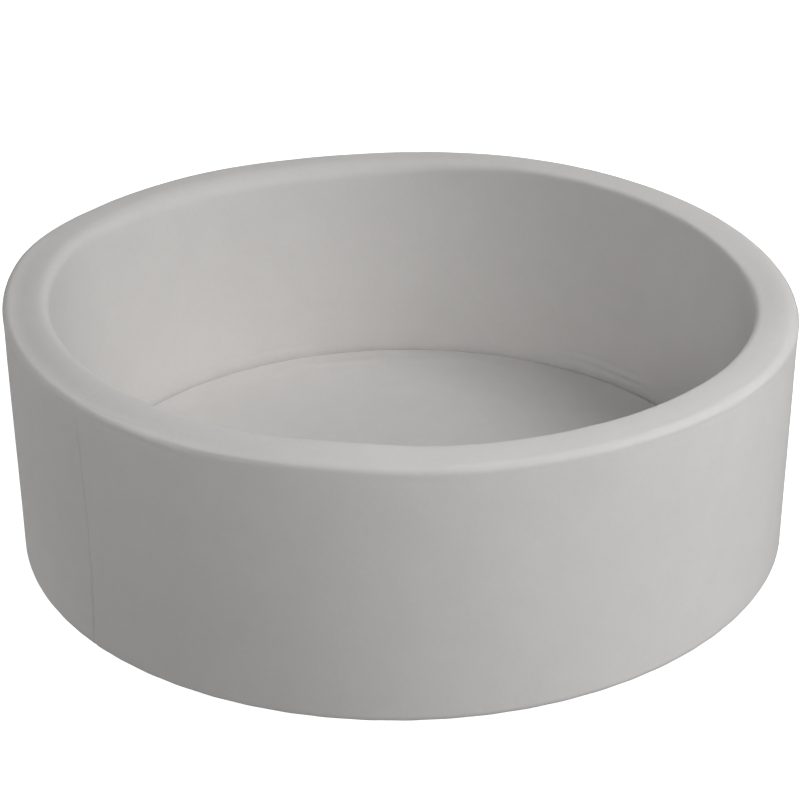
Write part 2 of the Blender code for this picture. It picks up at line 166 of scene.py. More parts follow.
def repeated(name, model, places):
    """One piece made of a copy of the model's mesh at each place, and the model removed."""
    mesh = model.data
    points = np.array([(*vertex.co, 1) for vertex in mesh.vertices])
    model_faces = [tuple(face.vertices) for face in mesh.polygons]
    placed, faces = [], []
    for index, place in enumerate(places):
        placed.append((points @ np.array(place).T)[:, :3])
        faces += [tuple(corner + index * len(points) for corner in face) for face in model_faces]
    bpy.data.objects.remove(model)
    bpy.data.meshes.remove(mesh)
    return new_piece(name, np.concatenate(placed), faces)


# The sleeve's profile
def arc(centre, radius, first, last):
    return ("arc", centre, radius, radians(first), radians(last))


PROFILE = [
    arc((OUTER - FOOT_ROUNDING, FOOT_BOTTOM + FOOT_ROUNDING), FOOT_ROUNDING, -90, 0),
    ("line", (OUTER, FOOT_BOTTOM + FOOT_ROUNDING), (OUTER, RIM - OUTER_ROUNDING)),
    arc((OUTER - OUTER_ROUNDING, RIM - OUTER_ROUNDING), OUTER_ROUNDING, 0, 90),
    ("line", (OUTER - OUTER_ROUNDING, RIM), (INNER + INNER_ROUNDING, RIM)),
    arc((INNER + INNER_ROUNDING, RIM - INNER_ROUNDING), INNER_ROUNDING, 90, 180),
    ("line", (INNER, RIM - INNER_ROUNDING), (INNER, INSIDE_BOTTOM)),
]


def stretch_length(stretch):
    if stretch[0] == "arc":
        return stretch[2] * (stretch[4] - stretch[3])
    return dist(stretch[1], stretch[2])


LENGTHS = [stretch_length(stretch) for stretch in PROFILE]
STARTS = [sum(LENGTHS[:index]) for index in range(len(LENGTHS) + 1)]
PATH_LENGTH = STARTS[-1]


def on_profile(distance):
    """Radius, height and outward normal at a distance along the sleeve's line."""
    index = 0
    while index < len(PROFILE) - 1 and distance > STARTS[index + 1]:
        index += 1
    stretch, run = PROFILE[index], distance - STARTS[index]
    if stretch[0] == "arc":
        _, centre, radius, first, _ = stretch
        angle = first + run / radius
        normal = (cos(angle), sin(angle))
        return (centre[0] + radius * normal[0], centre[1] + radius * normal[1], *normal)
    _, start, end = stretch
    way = ((end[0] - start[0]) / LENGTHS[index], (end[1] - start[1]) / LENGTHS[index])
    return (start[0] + way[0] * run, start[1] + way[1] * run, way[1], -way[0])


def outer_wall(height):
    """Distance along the line at a height on the outer wall."""
    return STARTS[1] + height - (FOOT_BOTTOM + FOOT_ROUNDING)


def wall_degrees(length):
    """Degrees of azimuth that a length takes up on the outer wall."""
    return degrees(length / OUTER)


def zip_span(beyond):
    """Azimuths of the zip's two ends, a length further out."""
    return ZIP_ENDS[0] - wall_degrees(beyond), ZIP_ENDS[1] + wall_degrees(beyond)


SLOT_LOW = outer_wall(ZIP_HEIGHT - SLOT_HALF - HEM_FOLD)
SLOT_HIGH = outer_wall(ZIP_HEIGHT + SLOT_HALF + HEM_FOLD)


def evenly(first, last, count):
    """So many even steps from first to last, with both."""
    return [first + (last - first) * index / count for index in range(count + 1)]


def spaced(first, last, step):
    """Even steps of about that size from first up to, and without, last."""
    return evenly(first, last, max(1, round((last - first) / step)))[:-1]


# The sleeve
# Middles of the rim's two corners, and of the notch where the seam turns over the rim
OUTER_CORNER = STARTS[2] + radians(45) * OUTER_ROUNDING
INNER_CORNER = STARTS[4] + radians(45) * INNER_ROUNDING
SEAM_NOTCH = 0.2955
RIM_MIDDLE = (STARTS[3] + STARTS[4]) / 2

# How the soft rim strays from its plain profile past this distance: azimuths, and amounts in mm
RIM_START = 0.250
RIM_TILT = (
    (0, 40, 80, 105, 145, 175, 200, 235, 262, 278, 310, 335, 360),
    (-2.4, -0.4, 0, -1.2, -1.2, 1.0, 2.5, 2.8, 1.8, 0.3, 0, -0.6, -2.4),
)
# How much larger than its least rounding each corner of the rim is, by azimuth
INNER_SOFTNESS = (
    (0, 20, 65, 95, 140, 165, 200, 245, 268, 282, 360),
    (5.0, 1.5, 1.5, 16.0, 16.0, 8.0, 4.0, 0, 0, 4.0, 5.0),
)
OUTER_SOFTNESS = ((0, 100, 150, 172, 330, 345, 360), (6.0, 6.0, 5.0, 0, 0, 4.0, 6.0))
OUTER_SWELL = ((150, 172, 188, 206), (0, 2.5, 2.1, 0))
RIM_CROWN = 1.5
RIM_HALF = 0.018
SWELL_HALF = 0.014

# Long soft creases: azimuths, distances along the line, depth and half width in mm. The
# cloth rises beside each: how high, how far away and how wide, as shares of the crease
RIDGE_SHARES = (0.6, 1.9, 1.3)
CREASES = [
    # under the near right edge of the rim
    ((299, 304, 309.2, 316.3, 323.7, 332.2, 338), (296, 293.7, 292.2, 293.7, 288.8, 278.8, 274), 0.32, 2.6),
    ((303, 310.2, 315.6, 322, 329.3, 337, 341), (306, 301.5, 300, 296.5, 293, 289, 286), 0.28, 2.2),
    ((296, 303, 311, 318), (284, 287, 285, 280), 0.22, 3.0),
    ((312, 320, 328, 335), (309, 306, 301, 297), 0.25, 2.0),
    # along the near left edge
    ((203, 208, 214, 220), (296, 298, 297, 292), 0.45, 2.4),
    ((222.8, 226, 230, 235), (310, 308, 311, 315), 0.40, 1.8),
    ((224, 228, 233, 239, 245), (297, 294, 295, 291, 287), 0.50, 2.4),
    ((236, 243, 250, 257), (303, 300, 301, 297), 0.35, 2.2),
    ((199, 204, 210), (288, 290, 285), 0.35, 2.6),
    # inside, above the floor at the right
    ((33, 40.3, 46.5, 51.2, 58), (593.3, 596.7, 595.7, 594.2, 596.3), 0.75, 3.0),
    ((35, 41.4, 46.4, 53.4, 60), (608.3, 609.6, 608.6, 607.7, 610.3), 0.90, 2.6),
    # round the sides and the back
    ((350, 357, 364, 371), (292, 290, 294, 291), 0.40, 2.6),
    ((8, 15, 22, 30), (300, 297, 299, 294), 0.35, 2.4),
    ((38, 46, 55), (289, 292, 287), 0.40, 2.8),
    ((66, 75, 84, 92), (298, 295, 297, 292), 0.40, 2.4),
    ((98, 104, 112), (287, 284, 288), 0.35, 3.0),
    ((118, 126, 134, 141), (299, 296, 293, 297), 0.40, 2.4),
    ((149, 156, 163), (290, 293, 289), 0.40, 2.6),
    ((168, 175, 182, 190), (297, 293, 296, 291), 0.45, 2.4),
    ((262, 270, 278, 285), (288, 290, 287, 291), 0.18, 3.0),
    ((103, 110, 118, 124), (603, 606, 604, 608), 0.40, 2.8),
    ((196, 204, 213), (605, 608, 603), 0.45, 2.8),
    ((282, 290, 299), (601, 605, 603), 0.40, 3.0),
]
# Butt joints of the foam strips, felt faintly through the cloth: azimuth and depth in mm
FOAM_JOINTS = ((87.0, 0.30), (177.0, 0.30), (357.0, 0.25), (267.0, 0.05))
JOINT_REACH = 40
JOINT_HALF = 7
# Unevenness of the foam and of the floor: waves to the metre, height in mm, and a shift
WALL_SWELLS = ((6.0, 0.42, (0, 0, 0)), (17.0, 0.20, (3, 7, 1)), (48.0, 0.10, (9, 2, 5)))
PAD_SWELLS = ((5.0, 0.90, (0, 0, 0)), (14.0, 0.35, (0, 0, 0)), (40.0, 0.12, (0, 0, 0)))
# The upright seam: how plainly it shows along the line, and its pucker, in mm
SEAM_SHOW = (
    (0.0, 0.150, 0.280, 0.297, 0.345, 0.365, PATH_LENGTH),
    (1.0, 1.0, 0.62, 0.10, 0.10, 0.45, 0.60),
)
SEAM_CUT, CUT_HALF = 1.35, 0.42
SEAM_PULL, PULL_HALF = 0.42, 3.2
ALLOWANCE_RISE, ALLOWANCE_MIDDLE, ALLOWANCE_HALF = 0.30, 6.0, 4.5
NOTCH_DEPTH, NOTCH_ACROSS, NOTCH_ALONG = 0.45, 4.5, 3.0
PUCKER, PUCKER_REACH, PUCKER_PITCH = 0.14, 7.0, 0.0185
# The seam's line: how far it bows and stands off its azimuth, and how wide the cloth follows
SEAM_BOW, SEAM_SHIFT, BOW_HALF = 0.95, 0.35, 9
# The cloth beside its own edges and beside the slot's hem, in mm
EDGE_EASE = 10
EDGE_WAVE, EDGE_WAVE_AT, EDGE_WAVE_HALF = 0.16, 6, 4
HEM_DRAW, HEM_DRAW_AT, HEM_DRAW_HALF = 0.30, 9.5, 1.3


def turned_by(azimuth, start):
    """How far an azimuth lies from another, from -180 to 180 degrees."""
    return (azimuth - start + 180) % 360 - 180


def hump(away, half):
    """A smooth hump of height 1, so far from its middle."""
    return exp(-((away / half) ** 2))


def rounded(share):
    """A rise to 1 and back over a share of the way."""
    return sin(pi * share) ** 0.8


def seam_bow(distance):
    """How far the upright seam strays sideways from its azimuth, in degrees."""
    share = min(1.0, max(0.0, distance / STARTS[2]))
    return SEAM_BOW * rounded(share) - SEAM_SHIFT


def crease_height(azimuth, distance):
    """Height of all creases at one place, in mm."""
    total = 0.0
    rise, away, width = RIDGE_SHARES
    for azimuths, distances, depth, half in CREASES:
        middle = (azimuths[0] + azimuths[-1]) / 2
        here = middle + turned_by(azimuth, middle)
        if not azimuths[0] < here < azimuths[-1]:
            continue
        across = distance / MM - np.interp(here, azimuths, distances)
        if abs(across) > 5 * half:
            continue
        share = (here - azimuths[0]) / (azimuths[-1] - azimuths[0])
        ridge = hump(across - away * half, width * half)
        total += depth * rounded(share) * (rise * ridge - hump(across, half))
    return total


def unevenness(place, swells):
    """Sum of smooth random waves at a place, in mm."""
    return sum(height * noise.noise(place * rate + Vector(shift)) for rate, height, shift in swells)


def foam_swell(azimuth, distance):
    """Slow unevenness of the foam under the cloth, in mm."""
    radius, height, _, _ = on_profile(distance)
    swell = unevenness(Vector(on_circle(radius, radians(azimuth), height)), WALL_SWELLS)
    for joint, depth in FOAM_JOINTS:
        across = radians(turned_by(azimuth, joint)) * radius / MM
        if abs(across) < JOINT_REACH:
            swell -= depth * hump(across, JOINT_HALF)
    return swell


def softened(azimuth, distance):
    """Radius, height and normal of the sleeve's line, with the rim's corners softened."""
    inner = INNER_ROUNDING + np.interp(azimuth % 360, *INNER_SOFTNESS) * MM
    outer = OUTER_ROUNDING + np.interp(azimuth % 360, *OUTER_SOFTNESS) * MM
    corners = (
        (OUTER_CORNER, OUTER_ROUNDING, outer, OUTER - outer, 0),
        (INNER_CORNER, INNER_ROUNDING, inner, INNER + inner, 90),
    )
    for middle, least, rounding, centre, first in corners:
        reach = rounding - least + radians(45) * least
        share = (distance - middle) / reach
        if abs(share) < 1:
            angle = radians(first + 45 + 45 * share)
            out, up = cos(angle), sin(angle)
            return (centre + rounding * out, RIM - rounding + rounding * up, out, up)
    return on_profile(distance)


def rim_rise(azimuth, distance):
    """Height of the soft rim over its plain profile, in mm."""
    turn = azimuth % 360
    across = (distance - RIM_MIDDLE) / RIM_HALF
    rise = np.interp(turn, *RIM_TILT) * across * exp((1 - across**2) / 2)
    rise += RIM_CROWN * hump(across, 1)
    return rise + np.interp(turn, *OUTER_SWELL) * hump(distance - OUTER_CORNER, SWELL_HALF)


def seam_height(across, distance):
    """Height of the cloth beside the upright seam: across is in mm from it."""
    reach = abs(across)
    height = -SEAM_CUT * exp(-reach / CUT_HALF) - SEAM_PULL * hump(reach, PULL_HALF)
    if reach < 40:
        ripple = sin(2 * pi * distance / PUCKER_PITCH + 0.6 * sin(distance / 0.031))
        height += PUCKER * ripple * exp(-reach / PUCKER_REACH) * min(1.0, reach / 1.5)
    if 0 < across < 4 * ALLOWANCE_HALF:
        height += ALLOWANCE_RISE * hump(across - ALLOWANCE_MIDDLE, ALLOWANCE_HALF)
    notch = hump(reach, NOTCH_ACROSS) * hump((distance - SEAM_NOTCH) / MM, NOTCH_ALONG)
    return height * np.interp(distance, *SEAM_SHOW) - NOTCH_DEPTH * notch


def sleeve_rows():
    """Distances along the line, closer together where the cloth bends or creases."""
    # where each stretch ends, and the step along it
    stretches = (
        (STARTS[1], 0.0025),
        (SLOT_LOW, 0.0019),
        (SLOT_HIGH, 0.0042),
        (SLOT_HIGH + 0.008, 0.0018),
        (0.225, 0.0165),
        (0.268, 0.0085),
        (STARTS[2], 0.0023),
        (STARTS[3], 0.00135),
        (STARTS[3] + 0.009, 0.0020),
        (STARTS[4], 0.0037),
        (STARTS[5], 0.0021),
        (STARTS[5] + 0.030, 0.0038),
        (0.573, 0.0175),
        (0.616, 0.0021),
        (PATH_LENGTH, 0.0050),
    )
    rows, start = [], 0.0
    for end, step in stretches:
        rows += spaced(start, end, step)
        start = end
    return rows + [PATH_LENGTH]


# Distances of the columns nearest the seam, in mm, and the step of the rest, in degrees
SEAM_COLUMNS = (0.08, 0.18, 0.38, 0.75, 1.4, 2.4, 3.8, 5.6, 8.0, 11.0, 14.5, 19.0, 24.5)
COLUMN_STEP = 1.0


def sleeve_columns():
    """Azimuths from one side of the upright seam round to the other."""
    near = [wall_degrees(across * MM) for across in SEAM_COLUMNS]
    first, last = SEAM_AZIMUTH - 360 + near[-1], SEAM_AZIMUTH - near[-1]
    stops = (first, *zip_span(SLOT_MARGIN + HEM_FOLD), last)
    columns = [SEAM_AZIMUTH - 360 + side for side in near[:-1]]
    for start, end in zip(stops, stops[1:]):
        columns += spaced(start, end, COLUMN_STEP)
    return columns + [SEAM_AZIMUTH - side for side in near[::-1]]


def sleeve_point(azimuth, distance, depth=0.0):
    """Place of the sleeve's outer face, or so far under it, with all that its cloth does there."""
    radius, height, out, up = softened(azimuth, distance)
    side = turned_by(azimuth, SEAM_AZIMUTH)
    across = radians(side) * OUTER / MM
    rise = foam_swell(azimuth, distance) + crease_height(azimuth, distance)
    rise = rise * min(1.0, (abs(across) + 2) / 12) + seam_height(across, distance)
    if distance > RIM_START:
        rise += rim_rise(azimuth, distance)
    edge = min(distance, PATH_LENGTH - distance) / MM
    rise *= min(1.0, edge / EDGE_EASE)
    rise += EDGE_WAVE * sin(azimuth * 13.7) * hump(edge - EDGE_WAVE_AT, EDGE_WAVE_HALF)
    beside_slot = abs(distance - outer_wall(ZIP_HEIGHT)) / MM
    if beside_slot < 20 and ZIP_ENDS[0] - 4 < azimuth < ZIP_ENDS[1] + 4:
        rise -= HEM_DRAW * hump(beside_slot - HEM_DRAW_AT, HEM_DRAW_HALF)
    turn = radians(azimuth + seam_bow(distance) * hump(side, BOW_HALF))
    rise = rise * MM - depth
    return on_circle(radius + out * rise, turn, height + up * rise)


def hem_rings(loop):
    """Rings that turn the cloth in round the zip's slot: each is an offset and a radius."""
    steps = [radians(45 * k) for k in range(1, 5)]
    rings = [(HEM_FOLD * (1 - sin(a)), OUTER - HEM_FOLD * (1 - cos(a))) for a in steps]
    rings += [(across, OUTER - 2 * HEM_FOLD) for across in (HEM_MIDDLE, HEM_WIDTH)]
    low_edge, high_edge = zip_span(SLOT_MARGIN)
    points = []
    for offset, radius in rings:
        spread = wall_degrees(offset)
        for azimuth, height in loop:
            turn = azimuth
            if azimuth < low_edge:
                turn = low_edge - spread
            elif azimuth > high_edge:
                turn = high_edge + spread
            level = height - ZIP_HEIGHT
            if abs(level) > SLOT_HALF + HEM_FOLD / 2:
                level = copysign(SLOT_HALF + offset, level)
            points.append(on_circle(radius, radians(turn), ZIP_HEIGHT + level))
    return points, len(rings)


def nearest(values, wanted):
    """Index of the value nearest the wanted one."""
    return min(range(len(values)), key=lambda index: abs(values[index] - wanted))


def make_sleeve():
    rows, columns = sleeve_rows(), sleeve_columns()
    points = [sleeve_point(azimuth, distance) for distance in rows for azimuth in columns]
    low, high = nearest(rows, SLOT_LOW), nearest(rows, SLOT_HIGH)
    left, right = (nearest(columns, end) for end in zip_span(SLOT_MARGIN + HEM_FOLD))
    faces, cells = grid_faces(
        len(rows), len(columns), False, lambda r, c: low <= r < high and left <= c < right
    )
    along = [radians(azimuth) * OUTER for azimuth in columns]
    uv = grid_uv(cells, along, rows)
    loop = [(low, c) for c in range(left, right)] + [(r, right) for r in range(low, high)]
    loop += [(high, c) for c in range(right, left, -1)] + [(r, left) for r in range(high, low, -1)]
    places = [(columns[c], on_profile(rows[r])[1]) for r, c in loop]
    extra, rings = hem_rings(places)
    start, size = len(points), len(loop)
    points += extra
    ring = [r * len(columns) + c for r, c in loop]
    for index in range(rings):
        after = list(range(start + index * size, start + (index + 1) * size))
        reach, next_reach = index * HEM_RING, (index + 1) * HEM_RING
        for k in range(size):
            j = (k + 1) % size
            faces.append((ring[j], ring[k], after[k], after[j]))
            (r0, c0), (r1, c1) = loop[k], loop[j]
            uv += [(along[c1], rows[r1] + reach), (along[c0], rows[r0] + reach)]
            uv += [(along[c0], rows[r0] + next_reach), (along[c1], rows[r1] + next_reach)]
        ring = after
    return thicken(new_piece("cover_sleeve", points, faces, uv), CLOTH)


# How the soft pit strays from true: an oval, as a share of the radius, and a rim off level
OVAL = 0.0099
OVAL_TURN = 10.3
RIM_LEAN = 0.0054
RIM_LEAN_TURN = 155.5
RIM_WAVE = 0.0025
RIM_WAVE_TURN = 180.0
# Where the wall is held true for the zip: azimuths from the back, heights and radii of the
# soft steps in and out of it, and the heights between which the rim's lean sets in
HELD_AZIMUTHS = (84, 104)
HELD_HEIGHTS = (0.035, 0.150)
HELD_RADII = (0.405, 0.438)
LEAN_HEIGHTS = (0.040, 0.270)
# Soft bumps: azimuth, half width in degrees, and a share of the radius or a height of the rim
SIDE_BUMPS = ((341, 25, 0.0045),)
RIM_BUMPS = (
    (8, 20, -0.0018),
    (101, 18, -0.0026),
    (167, 14, 0.0033),
    (260, 11, 0.0033),
    (318, 25, -0.0014),
)


def eased(value, low, high):
    """A soft step from 0 at low to 1 at high."""
    share = np.clip((value - low) / (high - low), 0, 1)
    return share * share * (3 - 2 * share)


def bumps(turn, kinds):
    """Sum of soft bumps at azimuths in radians."""
    total = np.zeros(len(turn))
    for middle, half, height in kinds:
        away = turned_by(np.degrees(turn), middle)
        total += height * np.exp(-((away / half) ** 2))
    return total


def press_out_of_true(piece):
    """Presses a soft piece slightly oval and off level, except where the wall carries the zip."""
    mesh = piece.data
    points = np.array([vertex.co[:] for vertex in mesh.vertices])
    turn = np.arctan2(points[:, 1], points[:, 0])
    from_back = np.abs((np.degrees(turn) + 90) % 360 - 180)
    held = (1 - eased(from_back, *HELD_AZIMUTHS)) * (1 - eased(points[:, 2], *HELD_HEIGHTS))
    held *= eased(np.hypot(points[:, 0], points[:, 1]), *HELD_RADII)
    stretch = OVAL * np.cos(2 * (turn - radians(OVAL_TURN))) + bumps(turn, SIDE_BUMPS)
    points[:, :2] *= 1 + (stretch * (1 - held))[:, None]
    lean = RIM_LEAN * np.cos(turn - radians(RIM_LEAN_TURN)) + bumps(turn, RIM_BUMPS)
    lean += RIM_WAVE * np.cos(3 * (turn - radians(RIM_WAVE_TURN)))
    points[:, 2] += lean * eased(points[:, 2], *LEAN_HEIGHTS)
    mesh.vertices.foreach_set("co", points.ravel())
    mesh.update()


# The padded floor
def disc_grid(count):
    """A square grid pressed into a disc of radius 1: points, faces, and the rim with its turns."""
    points = []
    for j in range(count + 1):
        for i in range(count + 1):
            x, y = 2 * i / count - 1, 2 * j / count - 1
            swapped = abs(x) < abs(y)
            reach, aside = (y, x) if swapped else (x, y)
            turn = pi / 4 * (aside / reach if reach else 0.0)
            place = (reach * cos(turn), reach * sin(turn))
            points.append(place[::-1] if swapped else place)
    side = count + 1
    rim = list(range(count)) + [j * side + count for j in range(count)]
    rim += [count * side + i for i in range(count, 0, -1)] + [j * side for j in range(count, 0, -1)]
    turns = [atan2(points[index][1], points[index][0]) for index in rim]
    return points, grid_faces(side, side, False)[0], rim, turns


def floor_level(edge, x, y, share):
    """Height of the padded floor at a place, from its edge's height; share is how far out it lies."""
    swell = unevenness(Vector((x, y, 0.37)), PAD_SWELLS)
    return edge + PAD_CROWN * (1 - share**2) + swell * MM * (1 - share**6)


def quarter(reach, height, rounding, steps):
    """Rows of a quarter round from a disc's edge down: radius, height and run of the cloth."""
    angles = [pi / 2 * (1 - k / steps) for k in range(1, steps + 1)]
    return [
        (reach + rounding * cos(a), height - rounding * (1 - sin(a)), rounding * (pi / 2 - a))
        for a in angles
    ]


def add_skirt(points, faces, turns, rim, rows):
    """Runs a disc's rim on through rings, each a radius and a height, and gives back the last."""
    ring = rim
    for reach, height in rows:
        after = list(range(len(points), len(points) + len(rim)))
        points += [on_circle(reach, turn, height) for turn in turns]
        bridge(faces, ring, after)
        ring = after
    return ring


def capped_disc(name, radius, level, side_rows, count, upward=True):
    """A disc of even quads that runs on into a turned edge. level(x, y) is its height."""
    flat, faces, rim, turns = disc_grid(count)
    uv_point = [(x * radius, y * radius) for x, y in flat]
    points = [(x, y, level(x, y)) for x, y in uv_point]
    add_skirt(points, faces, turns, rim, [row[:2] for row in side_rows])
    for _, _, run in side_rows:
        uv_point += [on_circle(radius + run, turn, 0)[:2] for turn in turns]
    if not upward:
        faces = [face[::-1] for face in faces]
    uv = [uv_point[corner] for face in faces for corner in face]
    return new_piece(name, points, faces, uv)


SETTLE_FRAMES = 20
SETTLE_REACH = 0.005
SETTLE_SLACK = 0.0070


def settle(cloth, below, sewn):
    """Lets a slack cloth settle on the foam below it, held along its sewn edge."""
    starts = [vertex.co.copy() for vertex in cloth.data.vertices]
    cloth.vertex_groups.new(name="sewn").add(sewn, 1.0, "REPLACE")
    rest = below.modifiers.new("rest", "COLLISION")
    below.collision.thickness_outer = 0.0004
    below.collision.cloth_friction = 2
    modifier = cloth.modifiers.new("cloth", "CLOTH")
    made_of = modifier.settings
    made_of.quality = 5
    made_of.mass = 0.15
    made_of.air_damping = 3
    made_of.tension_stiffness = made_of.compression_stiffness = 25
    made_of.shear_stiffness = 12
    made_of.bending_stiffness = 0.15
    made_of.shrink_min = -SETTLE_SLACK
    made_of.vertex_group_mass = "sewn"
    modifier.collision_settings.distance_min = 0.0012
    modifier.collision_settings.use_self_collision = False
    for moment in range(1, SETTLE_FRAMES + 1):
        bpy.context.scene.frame_set(moment)
    apply_all(cloth)
    bpy.context.scene.frame_set(1)
    below.modifiers.remove(rest)
    cloth.vertex_groups.clear()
    for vertex, start in zip(cloth.data.vertices, starts):
        move = vertex.co - start
        if move.length > SETTLE_REACH:
            vertex.co = start + move.normalized() * SETTLE_REACH


def make_pad_top(foam):
    rounding = PAD_TOP_ROUNDING
    flat_reach = PAD_RADIUS - rounding

    def level(x, y):
        return floor_level(PAD_EDGE_TOP, x, y, min(1.0, hypot(x, y) / flat_reach))

    rows = quarter(flat_reach, PAD_EDGE_TOP, rounding, 6)
    for k in range(1, 4):
        height = PAD_EDGE_TOP - rounding - (PAD_EDGE_TOP - rounding - PAD_TOP_SEAM) * k / 3
        rows.append((PAD_RADIUS, height, rounding * pi / 2 + 0.0013 * k))
    count = 72
    piece = capped_disc("pad_top", flat_reach, level, rows, count)
    settle(piece, foam, list(range((count + 1) ** 2, len(piece.data.vertices))))
    finer = piece.modifiers.new("finer", "SUBSURF")
    finer.levels = finer.render_levels = 1
    apply_all(piece)
    return thicken(piece, CLOTH)


# The band: its columns, its rows as shares of its height, and how it is drawn in, in mm
BAND_COLUMNS = 480
BAND_SHARES = (0.0, 0.04, 0.12, 0.3, 0.5, 0.7, 0.88, 0.96, 1.0)
BAND_DRAW, BAND_PULL, BAND_RIPPLE = 0.8, 0.7, 0.22


def make_pad_band():
    """The strip of cloth round the pad's side, drawn in along its middle and at its seams."""
    turns = evenly(0, 360, BAND_COLUMNS)
    low, high = PAD_FOOT_SEAM + SEWN_GAP, PAD_TOP_SEAM - SEWN_GAP
    heights = [low + (high - low) * share for share in BAND_SHARES]
    points = []
    for share, height in zip(BAND_SHARES, heights):
        edge = min(share, 1 - share)
        draw = BAND_DRAW * sin(pi * share) + BAND_PULL * exp(-edge / 0.03)
        for turn in turns[:-1]:
            azimuth = SEAM_AZIMUTH + turn
            ripple = BAND_RIPPLE * (1 + sin(azimuth * 24.0 + 0.7 * sin(azimuth * 3.0)))
            radius = PAD_RADIUS - (draw + ripple * exp(-edge / 0.15)) * MM
            points.append(on_circle(radius, radians(azimuth), height))
    faces, cells = grid_faces(len(BAND_SHARES), BAND_COLUMNS, True)
    uv = grid_uv(cells, [PAD_RADIUS * radians(turn) for turn in turns], heights)
    return thicken(new_piece("pad_band", points, faces, uv), CLOTH)


def make_pad_base():
    rounding = PAD_FOOT_ROUNDING
    flat_reach = PAD_RADIUS - rounding
    rows = [(r, 2 * PAD_BOTTOM - z, run) for r, z, run in quarter(flat_reach, PAD_BOTTOM, rounding, 5)]
    rows.append((PAD_RADIUS, PAD_FOOT_SEAM, rounding * pi / 2 + SEWN_GAP))
    piece = capped_disc("pad_base", flat_reach, lambda x, y: PAD_BOTTOM, rows, 90, upward=False)
    return thicken(piece, CLOTH)


def make_pad_filling():
    """The pad's foam: a cut disc with softened edges, under its cover all round."""
    inset = CLOTH + FILLING_GAP
    radius = PAD_RADIUS - inset - FILLING_INSET
    low, high = PAD_BOTTOM + inset, PAD_EDGE_TOP - inset
    flat_reach = radius - FILLING_ROUNDING
    flat, cells, rim, turns = disc_grid(90)
    points, faces = [], list(cells)
    for across, up in flat:
        x, y = across * flat_reach, up * flat_reach
        points.append((x, y, floor_level(high, x, y, min(1.0, hypot(across, up)))))
    side = [row[:2] for row in quarter(flat_reach, high, FILLING_ROUNDING, 4)]
    side += [(radius, (low + high) / 2)] + [(r, low + high - z) for r, z in side[::-1]]
    ring = add_skirt(points, faces, turns, rim, side)
    start = len(points)
    points += [(x, y, low) for x, y, _ in points[: len(flat)]]
    faces += [tuple(corner + start for corner in face[::-1]) for face in cells]
    bridge(faces, ring, [index + start for index in rim])
    return new_piece("pad_filling", points, faces)


# Foam and seam of the wall
STRIP_STEPS = 56
FOAM_GAP = 0.0006
FOAM_LIFT = 0.0002
# The groove for the zip, and where the foam is pressed in by the seam's turned edges
GROOVE_HALF = 0.0126
GROOVE_RADIUS = 0.4446
FOLD_WIDTH = 0.0105
FOLD_DEPTH = 0.0026
# Ends of the strips: half the gap between two and the reach of their soft edge in degrees, and
# how far that edge draws back
HALF_GAP = 0.045
END_REACH = 0.15
END_SOFTNESS = 0.0012


def foam_outline(grooved):
    """Distances along the sleeve's line with the depth of the foam's face under it."""
    outline = []
    for distance in sleeve_rows()[2:-1:2]:
        above = abs(on_profile(distance)[1] - ZIP_HEIGHT)
        pressed = grooved and distance < STARTS[2] and above < GROOVE_HALF
        outline.append((distance, OUTER - GROOVE_RADIUS if pressed else CLOTH + FOAM_GAP))
    return outline


def make_foam_strips():
    """Four curved strips of foam that stand end to end inside the sleeve."""
    strips = []
    for index in range(4):
        first = SEAM_AZIMUTH + (index - 0.5) * 90 + HALF_GAP
        turns = [first + turn for turn in evenly(0, 90 - 2 * HALF_GAP, STRIP_STEPS)]
        outline = foam_outline(index in (2, 3))
        side = wall_degrees(FOLD_WIDTH)
        if index == 0:
            turns = sorted(turns + [SEAM_AZIMUTH + step for step in (-0.1, -0.07, side, side + 0.03)])
        points = []
        for azimuth in turns:
            folded = index == 0 and -0.08 < azimuth - SEAM_AZIMUTH < side + 0.01
            end = min(azimuth - turns[0], turns[-1] - azimuth)
            sunk = END_SOFTNESS * exp(-end / END_REACH) + (FOLD_DEPTH if folded else 0.0)
            for distance, depth in outline:
                x, y, z = sleeve_point(azimuth, distance, depth + sunk)
                points.append((x, y, max(z, INSIDE_BOTTOM + FOAM_LIFT)))
        rings = [range(start, start + len(outline)) for start in range(0, len(points), len(outline))]
        faces = []
        for ring, after in zip(rings, rings[1:]):
            bridge(faces, ring, after)
        faces += [tuple(rings[0]), tuple(rings[-1][::-1])]
        strip = new_piece(f"foam_strip_{index + 1}", points, faces)
        strip.data.set_sharp_from_angle(angle=radians(50))
        strips.append(strip)
    return strips


FOLD_GAP = 0.0007
FOLD_CLOTH = CLOTH - 0.00015


def make_seam_fold():
    """The sleeve's two raw edges, laid together to one side behind the seam."""
    offsets = [0.0003, 0.0015, 0.004, 0.007, 0.0095, ALLOWANCE]
    rows = sleeve_rows()[::2]
    points, faces, uv = [], [], []
    for depth in (CLOTH + FOLD_GAP, 2 * CLOTH + FOLD_GAP):
        start = len(points)
        for distance in rows:
            for offset in offsets:
                points.append(sleeve_point(SEAM_AZIMUTH + wall_degrees(offset), distance, depth))
        layer, cells = grid_faces(len(rows), len(offsets), False)
        faces += [tuple(corner + start for corner in face) for face in layer]
        uv += grid_uv(cells, offsets, rows)
    return thicken(new_piece("seam_fold", points, faces, uv), FOLD_CLOTH)


# The base
def make_base_cloth():
    piece = capped_disc("base_cloth", BASE_RADIUS, lambda x, y: BASE_TOP, [], 72)
    return thicken(piece, BASE_TOP - BASE_UNDERSIDE)


